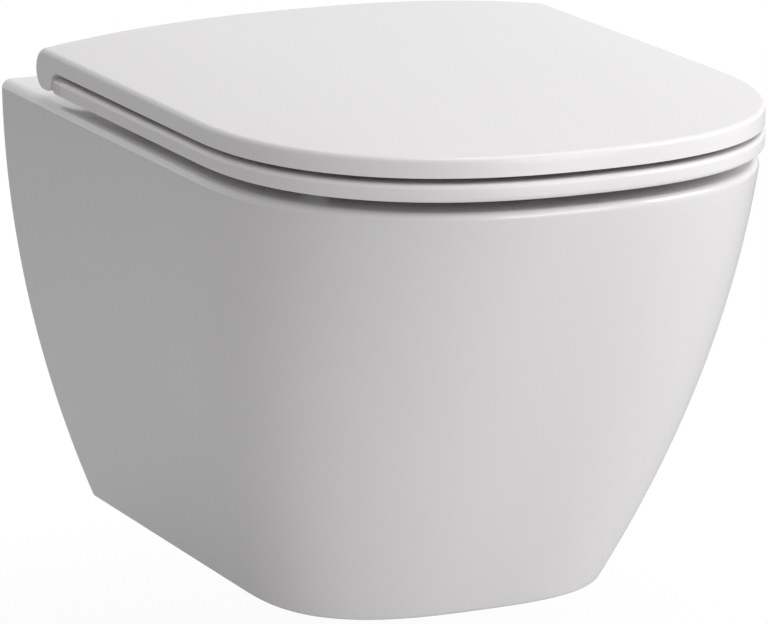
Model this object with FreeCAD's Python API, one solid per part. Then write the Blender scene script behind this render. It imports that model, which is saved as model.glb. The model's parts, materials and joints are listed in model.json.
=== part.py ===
import FreeCAD, Part
import math
import os

from FreeCAD import Vector as V

# Wall hung toilet with soft-close seat and lid, in millimetres.
# Origin: midway between the two wall fixings, on the wall plane.
# +Y goes into the wall, the pan reaches out along -Y, +Z is up.

# ---------------------------------------------------------------- pan, outside
RIM_Z = 80.0              # top of the china above the wall fixings
PAN_WIDTH = 360.0
PAN_DEPTH = 507.0
PAN_HEIGHT = 295.0
BASE_WIDTH = 234.6        # across the underside, at the wall
BASE_DEPTH = 355.0        # from the wall to the front of the underside
FRONT_RAKE = 0.76         # share of the front's set-back that is a straight slope
SIDE_RAKE = 0.03          # the same for the sides
SIDE_RUN_TOP = 325.0      # straight part of the side, at the rim
SIDE_RUN_BASE = 245.0     # straight part of the side, at the underside
POWER_TOP = 2.38          # superellipse power of the front, at the rim
POWER_BASE = 2.88         # the same at the underside
PAN_LEVELS = 5            # sections the outside is drawn through
RIM_ROUND = 6.0
BASE_ROUND = 3.0
CHINA = 11.0              # wall of the shroud
DECK = 12.0               # thickness of the deck and the rim
TRIM = 10.0               # what is drawn past the wall plane and cut off there
CUT = 1.0                 # how far a cutter is drawn past the face it opens
HEADROOM = 60.0           # how far cutters of the lid reach above the hinge axis

# ---------------------------------------------------------------- basin and trap
BASIN_WIDTH = 276.0
BASIN_REAR = 150.0        # wall to the back of the basin's mouth
RIM_FRONT = 36.0          # china in front of the basin's mouth
BASIN_POWER = 2.3
BASIN_WALL = 9.0
BASIN_LIP = 5.0           # round of the mouth
SUMP_Y = -255.0
SUMP_DEPTH = 270.0        # rim to the floor of the sump
SUMP_LENGTH = 62.0
SUMP_WIDTH = 60.0
SUMP_INSET = 8.0          # floor of the sump inside its walls
# depth under the rim as a share of the sump's depth, size as a share of the mouth
BASIN_STEPS = [(0.13, 0.97), (0.31, 0.88), (0.50, 0.69), (0.67, 0.48), (0.83, 0.24), (0.95, 0.06)]
TRAP_WALL = 9.0
DIP_Z = -144.0            # underside of the partition between basin and trap
WEIR_Z = -94.0            # crest that holds the water level
TRAP_WIDTH = 76.0
TRAP_LOW = 50.0           # height of the passage under the dip
TRAP_HIGH = 66.0          # height of the passage over the weir
# share of the way to the spigot, share of the climb, lean, share of the width, share of the growth
TRAP_STEPS = [
    (0.00, 0.02, 0, 1.00, 0.0),
    (0.17, 0.00, 8, 1.00, 0.0),
    (0.35, 0.16, 42, 1.00, 0.4),
    (0.49, 0.52, 56, 0.97, 0.6),
    (0.61, 0.95, 26, 0.97, 1.0),
    (0.74, 1.01, -6, 1.00, 1.2),
]

# ---------------------------------------------------------------- wall side
BOLT_SPACING = 180.0
BOLT_HOLE = 20.0
WEB = 12.0                # china web that the wall fixings clamp
WEB_DROP = 32.0           # web below the fixings
OUTLET_Z = -100.0
OUTLET_OD = 102.0
OUTLET_ID = 88.0
OUTLET_RUN = 45.0         # straight length of the spigot
OUTLET_EASE = 22.0        # length over which the passage widens to the spigot
OUTLET_LEAN = -22.0       # lean of the passage where it starts to widen
PASSAGE_STEP = 2.0        # a cast passage is this much narrower than the bore it meets
INLET_Z = 35.0
INLET_BORE = 55.0
INLET_WALL = 9.0
INLET_SOCKET = 55.0       # depth of the flush pipe's socket
SPOUT_WIDTH = 64.0        # slot through which the flush enters the basin
SPOUT_HEIGHT = 22.0
SPOUT_REACH = 3.0         # end of the spout inside the basin's mouth
SPOUT_WAIST = (61.0, 36.0)  # the flush passage halfway, across and high
HAND_HOLE = (44.0, 120.0)  # access from below to the wall nuts, across and along
HAND_HOLE_X = 84.0
HAND_HOLE_Y = -75.0
HAND_HOLE_ROUND = 18.0
SLEEVE_FLANGE = 3.0
SLEEVE_OD = 34.0
ROD = 12.0                # diameter of the wall rods that the nuts fit
FIT = 0.1                 # clearance of loose parts on a diameter's radius
WASHER_OD = 40.0
WASHER = 3.0
NUT_AF = 19.0             # across the flats
NUT = 10.0

# ---------------------------------------------------------------- seat and lid
COVER_SIDE = 2.5          # seat and lid past the side of the china
COVER_NOSE = 3.0          # seat and lid past the front of the china
SEAT_LIFT = 7.5           # rim to the underside of the seat
SEAT = 11.5               # thickness of the seat
SEAT_ROUND = 3.0
SEAT_HOLE_WIDTH = 226.0
SEAT_HOLE_REAR = 183.0
SEAT_HOLE_NOSE = 61.0     # front of the seat to its hole
SEAT_HOLE_POWER = 2.35
LID_GAP = 3.7             # seat top to the lid's lower edge
LID_EDGE = 12.3           # height of the lid's edge
LID_CROWN = 11.6          # rise of the middle over the edge
LID_WALL = 5.0
LID_ROUND = 2.5
LID_JOINT = 10.0          # front of the roll to where the two hollows of the lid meet
ROLL_BACK = 14.5          # hinge axis to the back of the lid's roll
ROLL_DROP = 12.4          # hinge axis to the underside of the roll
ROLL_ROUND = 12.0
NOTCH_HEADROOM = 8.5      # barrel to the ceiling of the lid's notches
NOTCH_BACK = 8.0          # hinge axis to the back edge left over the notches
CROWN_GRID = 15           # points each way across the crown
CROWN_REACH = 10.0        # how far the crown is drawn past the lid's outline
# underside in front of the roll, back and up from the hinge axis; the last two make an arc
ROLL_LIP = [(-13.5, -1.0), (-9.5, -8.5), (-7.8, -11.2), (-4.5, -12.4)]
ROLL_LIP_START = 20.0     # hinge axis to where the lid's lower edge turns up to the lip
# back edge of the seat: back from the front of the roll, up from the underside
SEAT_NOSE = [(-5.0, 0.0), (-0.2, 1.6), (0.8, 4.6), (-7.0, 11.5)]
ARM_ROOT = (17.0, 7.0)    # where the hinge arms start and end on the seat, from the roll
ARM_INSET = 0.5           # arms inside the faces of the seat

# ---------------------------------------------------------------- hinges
HINGE_Y = -83.0
HINGE_RISE = 21.0         # hinge axis above the rim
HINGE_SPACING = 155.0     # between the two fixing holes in the deck
HINGE_HOLE = 15.0
GASKET = 1.5
ROSETTE_OD = 36.0
ROSETTE = 4.0
STUD_OD = 12.0
STUD_TOP = 3.0            # top of the stud above the hinge axis
STUD_CHAMFER = 1.0
STUD_THREAD = 7.0         # depth of the bolt in the stud, from the rosette's top
RUN_FIT = 0.05            # running clearance of pins and studs
BARREL_OD = 21.0
BARREL_INNER = 33.5       # stud to the end of the barrel towards the middle plane
BARREL_OUTER = 12.5       # stud to the other end of the barrel
FOOT_WIDTH = 24.0
FOOT_DEPTH = 21.0
FOOT_LIFT = 0.3
FOOT_ROUND = 3.0
EAR = 8.0
EAR_GAP = 0.4
EAR_OD = 20.0
CHEEK = 12.2
PIN_OD = 8.0
PIN_GRIP = 5.0            # depth of the pin in the barrel
PIN_CHAMFER = 0.6
PRESS_FIT = 0.01          # room round a pin that is pressed in
CARTRIDGE_OD = 14.0
CARTRIDGE = 23.5
CARTRIDGE_KEY = 3.0
KEY_HEIGHT = 1.2
JOURNAL_OD = 6.0
JOURNAL = 17.0
JOURNAL_ROOM = 0.5        # left at the end of the journal's bore
SHAFT_OD = 10.0
SHAFT_FLAT = 3.5          # axis to the flat
SHAFT_GRIP = 11.0         # depth of the lid's shaft in the lid
BUTTON_TRAVEL = 1.6
LATCH = 2.8               # thickness of the latch plate
LATCH_LIFT = 2.5          # rosette top to the latch plate
LATCH_WIDTH = 18.0
LATCH_RIM = 1.5
LATCH_FIT = 0.2
BUTTON = (16.0, 2.6, 6.8)  # head: across, thick, high
BUTTON_NECK = 12.0
BUTTON_ROUND = 1.0
GROOVE = 1.0              # depth of the groove round the stud
BOLT_OD = 8.0
BOLT_LENGTH = 55.0
BUSH_LENGTH = 30.0
BUSH_BULGE = 22.0
BUSH_RAMP = 2.0           # height over which the bush swells below the deck
BUSH_WAIST = 0.55         # share of the length below the deck where it starts to taper
BUSH_FIT = 0.2
CLAMP_NUT_OD = 18.0
CLAMP_NUT = 11.0
CLAMP_NUT_AF = 13.0
CLAMP_FLANGE = 2.0

# ---------------------------------------------------------------- buffers
BUFFER = (24.0, 12.0)     # length and width of a rubber pad
REAR_PAD = (28.0, 170.0)  # in from the side of the china, out from the wall
FRONT_PAD = (45.0, 105.0)  # in from the side and from the front of the china
LID_PAD = (44.5, 118.0)   # in from the side and from the front of the lid
BUFFER_ROUND = 5.5
BUFFER_BOSS = 4.0         # margin of the boss round a lid pad

BASIN_FRONT = PAN_DEPTH - RIM_FRONT
COVER_WIDTH = PAN_WIDTH + 2 * COVER_SIDE
COVER_FRONT = PAN_DEPTH + COVER_NOSE
COVER_RUN = SIDE_RUN_TOP
COVER_POWER = POWER_TOP
SEAT_HOLE_FRONT = COVER_FRONT - SEAT_HOLE_NOSE
SEAT_BUFFER_AT = [
    (PAN_WIDTH / 2 - REAR_PAD[0], -REAR_PAD[1]),
    (PAN_WIDTH / 2 - FRONT_PAD[0], FRONT_PAD[1] - PAN_DEPTH),
]
LID_BUFFER_AT = (COVER_WIDTH / 2 - LID_PAD[0], LID_PAD[1] - COVER_FRONT)
HINGE_Z = RIM_Z + HINGE_RISE
SEAT_Z = RIM_Z + SEAT_LIFT
SEAT_TOP = SEAT_Z + SEAT
LID_Z = SEAT_TOP + LID_GAP
LID_EDGE_TOP = LID_Z + LID_EDGE
BASE_Z = RIM_Z - PAN_HEIGHT
PLATE_Z = RIM_Z + GASKET
ROSETTE_TOP = PLATE_Z + ROSETTE
STUD_X = HINGE_SPACING / 2
BARREL_IN = STUD_X - BARREL_INNER   # middle plane to the barrel's inner end
BARREL_OUT = STUD_X + BARREL_OUTER  # middle plane to its outer end
UNDER_DECK = RIM_Z - DECK - FIT
BUSH_END = UNDER_DECK - (BUSH_LENGTH - DECK)
SIDES = {"left": -1, "right": 1}

os.makedirs("parts", exist_ok=True)


def save(name, shape):
    shape.exportStep("parts/" + name + ".step")


def box(x0, x1, y0, y1, z0, z1):
    low = V(min(x0, x1), min(y0, y1), min(z0, z1))
    return Part.makeBox(abs(x1 - x0), abs(y1 - y0), abs(z1 - z0), low)


def rod_x(radius, x0, x1, y, z):
    return Part.makeCylinder(radius, abs(x1 - x0), V(min(x0, x1), y, z), V(1, 0, 0))


def rod_y(radius, x, y0, y1, z):
    return Part.makeCylinder(radius, abs(y1 - y0), V(x, min(y0, y1), z), V(0, 1, 0))


def rod_z(radius, x, y, z0, z1):
    return Part.makeCylinder(radius, abs(z1 - z0), V(x, y, min(z0, z1)))


def fuse(shapes):
    return shapes[0].multiFuse(shapes[1:]).removeSplitter()


def prism(wire, z0, z1):
    """The closed wire, which lies at any height, filled and drawn from z0 up to z1."""
    face = Part.Face(wire)
    face.translate(V(0, 0, z0 - wire.BoundBox.ZMin))
    return face.extrude(V(0, 0, z1 - z0))


def oval_arc(width, length, power, start, end, count):
    """Points of a superellipse about the origin, by polar angle, with x = radius cos and y = radius sin."""
    points = []
    for step in range(count):
        angle = math.radians(start + (end - start) * step / (count - 1))
        across = abs(math.cos(angle) / width) ** power
        along = abs(math.sin(angle) / length) ** power
        radius = (across + along) ** (-1 / power)
        points.append(V(radius * math.cos(angle), radius * math.sin(angle), 0))
    return points


def curve(points, speed):
    """A smooth curve through evenly timed points. It leaves along -Y and arrives along +Y."""
    last = len(points) - 1
    times = [step / last for step in range(last + 1)]
    spline = Part.BSplineCurve()
    spline.interpolate(Points=points, Parameters=times, InitialTangent=V(0, -speed, 0),
                       FinalTangent=V(0, speed, 0), Scale=False)
    return spline.toShape()


def tongue(half, run, front, power, back, z, count=13):
    """Plan outline with parallel sides and a superellipse front, closed by a straight line at the back."""
    arc = [p + V(0, -run, z) for p in oval_arc(half, front - run, power, 180, 360, count)]
    nose = curve(arc, half * math.pi)
    left = Part.makeLine(V(-half, back, z), arc[0])
    right = Part.makeLine(arc[-1], V(half, back, z))
    rear = Part.makeLine(V(half, back, z), V(-half, back, z))
    return Part.Wire([left, nose, right, rear])


def oval(half, rear, front, power, z, count=17):
    """Closed superellipse from y = -rear to y = -front."""
    middle = V(0, -(rear + front) / 2, z)
    around = oval_arc(half, (front - rear) / 2, power, 90, 450, count)
    spline = Part.BSplineCurve()
    spline.interpolate(Points=[p + middle for p in around[:-1]], PeriodicFlag=True)
    return Part.Wire([spline.toShape()])


# ---------------------------------------------------------------- pan
def set_back(share, rake):
    """How far a side has come in at a share of the height: part straight slope, part parabola."""
    return rake * share + (1 - rake) * share ** 2


def pan_section(share, inset, back):
    """Plan outline of the china at a share of its height below the rim, moved in by the inset."""
    half = PAN_WIDTH / 2 - (PAN_WIDTH - BASE_WIDTH) / 2 * set_back(share, SIDE_RAKE)
    front = PAN_DEPTH - (PAN_DEPTH - BASE_DEPTH) * set_back(share, FRONT_RAKE)
    run = SIDE_RUN_TOP + (SIDE_RUN_BASE - SIDE_RUN_TOP) * share
    power = POWER_TOP + (POWER_BASE - POWER_TOP) * share
    return tongue(half - inset, run, front - inset, power, back, RIM_Z - share * PAN_HEIGHT)


def shroud(inset, top, bottom):
    """The outside of the pan, moved in by the inset, as a solid between two depths below the rim."""
    sections = []
    for level in range(PAN_LEVELS):
        depth = top + (bottom - top) * level / (PAN_LEVELS - 1)
        sections.append(pan_section(depth / PAN_HEIGHT, inset, TRIM))
    return Part.makeLoft(sections, True, False)


def behind_wall():
    """The space past the wall plane."""
    return box(-PAN_WIDTH, PAN_WIDTH, 0, 2 * TRIM, BASE_Z - TRIM, RIM_Z + TRIM)


def pan_outside():
    body = shroud(0, 0, PAN_HEIGHT)
    rim = [e for e in level_edges(body, RIM_Z) if e.BoundBox.YMin < TRIM - 1]
    body = body.makeFillet(RIM_ROUND, rim)
    base = [e for e in level_edges(body, BASE_Z) if e.BoundBox.YMin < TRIM - 1]
    return body.makeFillet(BASE_ROUND, base).cut(behind_wall())


def basin(extra):
    """The basin's cavity, or with extra its outside: ovals from the mouth down to the sump."""
    mouth_middle = -(BASIN_REAR + BASIN_FRONT) / 2
    mouth_half = (BASIN_FRONT - BASIN_REAR) / 2
    top = RIM_Z + (CUT if extra == 0 else -DECK / 2)
    sections = [oval(BASIN_WIDTH / 2 + extra, BASIN_REAR - extra, BASIN_FRONT + extra, BASIN_POWER, top)]
    for depth, size in BASIN_STEPS:
        middle = SUMP_Y + (mouth_middle - SUMP_Y) * size
        length = SUMP_LENGTH / 2 + (mouth_half - SUMP_LENGTH / 2) * size + extra
        width = SUMP_WIDTH / 2 + (BASIN_WIDTH / 2 - SUMP_WIDTH / 2) * size + extra
        z = RIM_Z - SUMP_DEPTH * depth
        sections.append(oval(width, -middle - length, -middle + length, BASIN_POWER, z))
    floor = RIM_Z - SUMP_DEPTH - extra
    middle = -SUMP_Y
    width = SUMP_WIDTH / 2 - SUMP_INSET + extra
    length = SUMP_LENGTH / 2 - SUMP_INSET + extra
    sections.append(oval(width, middle - length, middle + length, BASIN_POWER, floor))
    return Part.makeLoft(sections, True, False)


def station(y, z, lean, width, height):
    """One ellipse across a passage, started at its side whichever way is longer. The lean turns
    its plane about X, 0 being square to Y."""
    ellipse = Part.Ellipse(V(0, 0, 0), max(width, height) / 2, min(width, height) / 2)
    start = 0 if width >= height else math.pi / 2
    wire = Part.Wire([ellipse.toShape(start, start + 2 * math.pi)])
    wire.rotate(V(0, 0, 0), V(0, 0, 1), -math.degrees(start))
    wire.rotate(V(0, 0, 0), V(1, 0, 0), 90 + lean)
    wire.translate(V(0, y, z))
    return wire


def trap(extra):
    """The passage from the sump under the dip, over the weir and out to the spigot."""
    low_z = DIP_Z - TRAP_LOW / 2
    climb = WEIR_Z + TRAP_HIGH / 2 - low_z
    way = -OUTLET_RUN - SUMP_Y
    wires = []
    for along, up, lean, across, growth in TRAP_STEPS:
        width = TRAP_WIDTH * across + 2 * extra
        height = TRAP_LOW + (TRAP_HIGH - TRAP_LOW) * growth + 2 * extra
        wires.append(station(SUMP_Y + way * along, low_z + climb * up, lean, width, height))
    bore = OUTLET_ID - PASSAGE_STEP + 2 * min(extra, (OUTLET_OD - OUTLET_ID) / 2)
    bend_y = -OUTLET_RUN - OUTLET_EASE
    bend_z = (low_z + climb + OUTLET_Z) / 2 - PASSAGE_STEP
    wires.append(station(bend_y, bend_z, OUTLET_LEAN, bore - PASSAGE_STEP, bore - 3 * PASSAGE_STEP))
    wires.append(station(-OUTLET_RUN, OUTLET_Z, 0, bore, bore))
    return Part.makeLoft(wires, True, False)


def spout(extra):
    """The passage from the flush pipe's socket, flattened to the slot behind the rim."""
    radius = INLET_BORE / 2 - PASSAGE_STEP + extra
    start = Part.Wire([Part.makeCircle(radius, V(0, -INLET_SOCKET, INLET_Z), V(0, 1, 0))])
    width, height = SPOUT_WAIST
    middle = station(-(INLET_SOCKET + BASIN_REAR) / 2, INLET_Z, 0, width + 2 * extra, height + 2 * extra)
    end = station(-BASIN_REAR - SPOUT_REACH, INLET_Z, 0, SPOUT_WIDTH + 2 * extra, SPOUT_HEIGHT + 2 * extra)
    return Part.makeLoft([start, middle, end], True, False)


def hand_hole(side):
    across, along = HAND_HOLE
    x = side * HAND_HOLE_X
    slot = box(x - across / 2, x + across / 2, HAND_HOLE_Y - along / 2, HAND_HOLE_Y + along / 2,
               BASE_Z - CUT, BASE_Z + CHINA + CUT)
    return round_upright(slot, HAND_HOLE_ROUND)


def basin_outside():
    """The basin, the trap and the spigot as one solid without their cavities."""
    spigot = rod_y(OUTLET_OD / 2, 0, -OUTLET_RUN, 0, OUTLET_Z)
    return basin(BASIN_WALL).fuse(trap(TRAP_WALL)).fuse(spigot)


def channel_outside():
    """The flush pipe's socket and the spout as one solid without their cavities."""
    socket = rod_y(INLET_BORE / 2 + INLET_WALL, 0, -INLET_SOCKET, 0, INLET_Z)
    return socket.fuse(spout(INLET_WALL))


def make_bowl():
    """The shroud with its deck, rim and wall web. Basin and flush channel are cast for it separately."""
    china = pan_outside().cut(basin(0))
    mouth = []
    for edge in level_edges(china, RIM_Z):
        if edge.BoundBox.YMax < -BASIN_REAR + CUT and edge.BoundBox.YMin > -BASIN_FRONT - CUT:
            mouth.append(edge)
    china = china.makeFillet(BASIN_LIP, mouth)
    web = box(-PAN_WIDTH / 2, PAN_WIDTH / 2, -WEB, 0, -WEB_DROP, RIM_Z)
    china = china.cut(shroud(CHINA, DECK, PAN_HEIGHT - CHINA).cut(web))
    china = china.cut(basin_outside())
    china = china.cut(channel_outside())
    for side in SIDES.values():
        china = china.cut(rod_y(BOLT_HOLE / 2, side * BOLT_SPACING / 2, -WEB - CUT, CUT, 0))
        china = china.cut(rod_z(HINGE_HOLE / 2, side * STUD_X, HINGE_Y, RIM_Z - DECK - CUT, RIM_Z + CUT))
        china = china.cut(hand_hole(side))
    return china


def make_basin():
    china = basin_outside().cut(basin(0)).cut(trap(0)).cut(spout(0))
    return china.cut(rod_y(OUTLET_ID / 2, 0, -OUTLET_RUN, CUT, OUTLET_Z))


def make_flush_channel():
    china = channel_outside().cut(basin_outside()).cut(spout(0))
    return china.cut(rod_y(INLET_BORE / 2, 0, -INLET_SOCKET, CUT, INLET_Z))


# ---------------------------------------------------------------- seat and lid
def cover_outline(inset, back):
    """Plan outline that seat and lid share."""
    return tongue(COVER_WIDTH / 2 - inset, COVER_RUN, COVER_FRONT - inset, COVER_POWER, back, 0)


def at_hinge(back, rise):
    """A point in the YZ plane, given from the hinge axis."""
    return V(0, HINGE_Y + back, HINGE_Z + rise)


def profile_x(points, x0, x1):
    """A closed outline in the YZ plane, drawn from x0 to x1. A pair of points stands for an arc
    that passes through the first and ends at the second."""
    edges = []
    here = points[0]
    for item in points[1:] + [points[0]]:
        if isinstance(item, tuple):
            through, end = item
            edges.append(Part.Arc(here, through, end).toShape())
        else:
            end = item
            edges.append(Part.makeLine(here, end))
        here = end
    face = Part.Face(Part.Wire(edges))
    face.translate(V(x0, 0, 0))
    return face.extrude(V(x1 - x0, 0, 0))


def shaft_x(radius, flat, x0, x1):
    """A round bar along the hinge axis with one flat on top, or the bore for it."""
    bar = rod_x(radius, x0, x1, HINGE_Y, HINGE_Z)
    above = box(x0, x1, HINGE_Y - radius, HINGE_Y + radius, HINGE_Z + flat, HINGE_Z + 2 * radius)
    return bar.cut(above)


def lid_height(x, y):
    """Height of the lid's upper face: level along the edge, with a superellipse crown inside it."""
    across = abs(2 * x / COVER_WIDTH) ** COVER_POWER
    along = (max(0.0, -y - COVER_RUN) / (COVER_FRONT - COVER_RUN)) ** COVER_POWER
    return LID_EDGE_TOP + LID_CROWN * (1 - across - along)


def under_crown(drop):
    """Everything below the lid's upper face, or below a face that much lower."""
    reach = COVER_WIDTH / 2 + CROWN_REACH
    near = -COVER_FRONT - CROWN_REACH
    far = HINGE_Y + ROLL_BACK + CROWN_REACH
    rows = []
    for i in range(CROWN_GRID):
        x = -reach + 2 * reach * i / (CROWN_GRID - 1)
        row = []
        for j in range(CROWN_GRID):
            y = near + (far - near) * j / (CROWN_GRID - 1)
            row.append(V(x, y, lid_height(x, y) - drop))
        rows.append(row)
    crown = Part.BSplineSurface()
    crown.interpolate(rows)
    return crown.toShape().extrude(V(0, 0, -LID_CROWN - LID_EDGE - 2 * HINGE_RISE))


def level_edges(shape, z, tolerance=0.05):
    """The edges that lie level at a height."""
    return [e for e in shape.Edges if abs(e.BoundBox.ZMin - z) < tolerance and abs(e.BoundBox.ZMax - z) < tolerance]


def back_edges(shape, y, above):
    """The long edges along X that lie at a distance from the wall, above a height."""
    found = []
    for edge in shape.Edges:
        middle = edge.valueAt((edge.FirstParameter + edge.LastParameter) / 2)
        if abs(middle.y - y) < 0.05 and abs(middle.x) < 1 and middle.z > above:
            found.append(edge)
    return found


def lid_blank():
    """The lid before it is hollowed: the crowned plate with the roll along its back."""
    back = HINGE_Y + ROLL_BACK
    floor = HINGE_Z - ROLL_DROP
    turn = ROLL_ROUND * math.sqrt(0.5)
    heel = V(0, back - ROLL_ROUND, floor + ROLL_ROUND)
    outline = [
        V(0, -COVER_FRONT - CROWN_REACH, LID_Z),
        at_hinge(-ROLL_LIP_START, LID_Z - HINGE_Z),
        at_hinge(*ROLL_LIP[0]),
        at_hinge(*ROLL_LIP[1]),
        (at_hinge(*ROLL_LIP[2]), at_hinge(*ROLL_LIP[3])),
        heel - V(0, 0, ROLL_ROUND),
        (heel + V(0, turn, -turn), heel + V(0, ROLL_ROUND, 0)),
        V(0, back, HINGE_Z + HEADROOM),
        V(0, -COVER_FRONT - CROWN_REACH, HINGE_Z + HEADROOM),
    ]
    blank = prism(cover_outline(0, back), floor - CUT, HINGE_Z + HEADROOM).common(under_crown(0))
    rim = []
    for edge in blank.Edges:
        middle = edge.valueAt((edge.FirstParameter + edge.LastParameter) / 2)
        if abs(middle.z - LID_EDGE_TOP) < 1 and edge.BoundBox.YMin < HINGE_Y - HINGE_RISE:
            rim.append(edge)
    blank = blank.makeFillet(LID_ROUND, rim)
    blank = blank.makeFillet(ROLL_ROUND, back_edges(blank, back, LID_EDGE_TOP))
    return blank.common(profile_x(outline, -COVER_WIDTH, COVER_WIDTH))


def lid_core():
    """The hollow behind the seat's back edge, which follows the roll at one wall's distance."""
    back = HINGE_Y + ROLL_BACK - LID_WALL
    floor = HINGE_Z - ROLL_DROP + LID_WALL
    near = HINGE_Y - ROLL_BACK - LID_JOINT - CUT
    core = box(-COVER_WIDTH / 2, COVER_WIDTH / 2, near, back, floor, HINGE_Z + HEADROOM)
    core = core.common(under_crown(LID_WALL))
    heel = [e for e in core.Edges if e.BoundBox.YMin > back - 0.05 and e.BoundBox.XLength > COVER_WIDTH / 2]
    return core.makeFillet(ROLL_ROUND - LID_WALL, heel)


def make_lid():
    inner = BARREL_IN - 2 * EAR_GAP - EAR
    outer = BARREL_OUT + 2 * EAR_GAP + EAR
    joint_y = HINGE_Y - ROLL_BACK - LID_JOINT
    hollow = prism(cover_outline(LID_WALL, joint_y), LID_Z - CUT, HINGE_Z + HEADROOM)
    hollow = hollow.common(under_crown(LID_WALL))
    length, width = BUFFER
    across = width / 2 + BUFFER_BOSS
    along = length / 2 + BUFFER_BOSS
    x, y = LID_BUFFER_AT
    for side in SIDES.values():
        boss = box(side * x - across, side * x + across, y - along, y + along, LID_Z - 2 * CUT, HINGE_Z + HEADROOM)
        hollow = hollow.cut(boss)
    lid = lid_blank().cut(hollow)
    core = lid_core()
    end = COVER_WIDTH / 2 - LID_WALL
    spans = [(-inner + CHEEK, inner - CHEEK), (outer + CHEEK, end), (-end, -outer - CHEEK)]
    for x0, x1 in spans:
        lid = lid.cut(core.common(box(x0, x1, -COVER_FRONT, 0, BASE_Z, HINGE_Z + 2 * HEADROOM)))
    ceiling = HINGE_Z + BARREL_OD / 2 + NOTCH_HEADROOM
    behind = HINGE_Y + NOTCH_BACK
    for side in SIDES.values():
        x0 = side * inner
        x1 = side * outer
        lid = lid.cut(box(x0, x1, joint_y - CUT, 0, BASE_Z, ceiling))
        lid = lid.cut(box(x0, x1, behind, 0, BASE_Z, HINGE_Z + HEADROOM))
        lid = lid.cut(rod_x(PIN_OD / 2 + RUN_FIT, x1 - side * CUT, x1 + side * (CHEEK + CUT), HINGE_Y, HINGE_Z))
    driven = -inner
    lid = lid.cut(shaft_x(SHAFT_OD / 2 + RUN_FIT, SHAFT_FLAT + RUN_FIT, driven - CUT, driven + SHAFT_GRIP))
    return lid


def make_lid_buffers():
    length, width = BUFFER
    x, y = LID_BUFFER_AT
    pads = []
    for side in SIDES.values():
        pad = box(side * x - width / 2, side * x + width / 2, y - length / 2, y + length / 2, SEAT_TOP, LID_Z)
        pads.append(round_upright(pad, BUFFER_ROUND))
    return Part.makeCompound(pads)


def round_upright(shape, radius):
    """The shape with its upright edges rounded."""
    upright = [e for e in shape.Edges if e.BoundBox.XLength < 0.01 and e.BoundBox.YLength < 0.01]
    return shape.makeFillet(radius, upright)


def make_seat():
    nose = HINGE_Y - ROLL_BACK
    start, through, tip, top = [V(0, nose + back, SEAT_Z + up) for back, up in SEAT_NOSE]
    front = -COVER_FRONT - CROWN_REACH
    outline = [V(0, front, start.z), start, (through, tip), top, V(0, front, top.z)]
    ring = profile_x(outline, -COVER_WIDTH, COVER_WIDTH)
    ring = ring.common(prism(cover_outline(0, 0), 0, HINGE_Z + HEADROOM))
    hole = oval(SEAT_HOLE_WIDTH / 2, SEAT_HOLE_REAR, SEAT_HOLE_FRONT, SEAT_HOLE_POWER, 0)
    ring = ring.cut(prism(hole, SEAT_Z - CUT, SEAT_TOP + CUT))
    rounded = []
    for edge in level_edges(ring, SEAT_TOP) + level_edges(ring, SEAT_Z):
        if edge.BoundBox.YMin < nose - ARM_ROOT[0]:
            rounded.append(edge)
    ring = ring.makeFillet(SEAT_ROUND, rounded)
    root, heel = ARM_ROOT
    arm = [
        at_hinge(0, EAR_OD / 2),
        V(0, nose - root, SEAT_TOP - ARM_INSET),
        V(0, nose - root, SEAT_Z + ARM_INSET),
        V(0, nose - heel, SEAT_Z + ARM_INSET),
        at_hinge(0, -EAR_OD / 2),
    ]
    seat = [ring]
    for side in SIDES.values():
        near = side * (BARREL_IN - EAR_GAP)
        far = side * (BARREL_OUT + EAR_GAP)
        for x0, x1 in ((near, near - side * EAR), (far, far + side * EAR)):
            seat.append(rod_x(EAR_OD / 2, x0, x1, HINGE_Y, HINGE_Z))
            seat.append(profile_x(arm, min(x0, x1), max(x0, x1)))
    seat = fuse(seat)
    for side in SIDES.values():
        far = side * (BARREL_OUT + EAR_GAP)
        seat = seat.cut(rod_x(PIN_OD / 2 + RUN_FIT, far - side * CUT, far + side * (EAR + CUT), HINGE_Y, HINGE_Z))
    near = BARREL_IN - EAR_GAP
    seat = seat.cut(shaft_x(SHAFT_OD / 2 + RUN_FIT, SHAFT_FLAT + RUN_FIT, near - EAR - CUT, near + CUT))
    seat = seat.cut(rod_x(SHAFT_OD / 2 + EAR_GAP, -near - CUT, -near + EAR + CUT, HINGE_Y, HINGE_Z))
    return seat


def make_seat_buffers():
    length, width = BUFFER
    pads = []
    for side in SIDES.values():
        for x, y in SEAT_BUFFER_AT:
            pad = box(side * x - width / 2, side * x + width / 2, y - length / 2, y + length / 2, RIM_Z, SEAT_Z)
            pads.append(round_upright(pad, BUFFER_ROUND))
    return Part.makeCompound(pads)


# ---------------------------------------------------------------- hinges
def make_gasket(side):
    ring = rod_z(ROSETTE_OD / 2 - STUD_CHAMFER, side * STUD_X, HINGE_Y, RIM_Z, PLATE_Z)
    return ring.cut(rod_z(BOLT_OD / 2 + FIT, side * STUD_X, HINGE_Y, RIM_Z - CUT, PLATE_Z + CUT))


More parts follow.
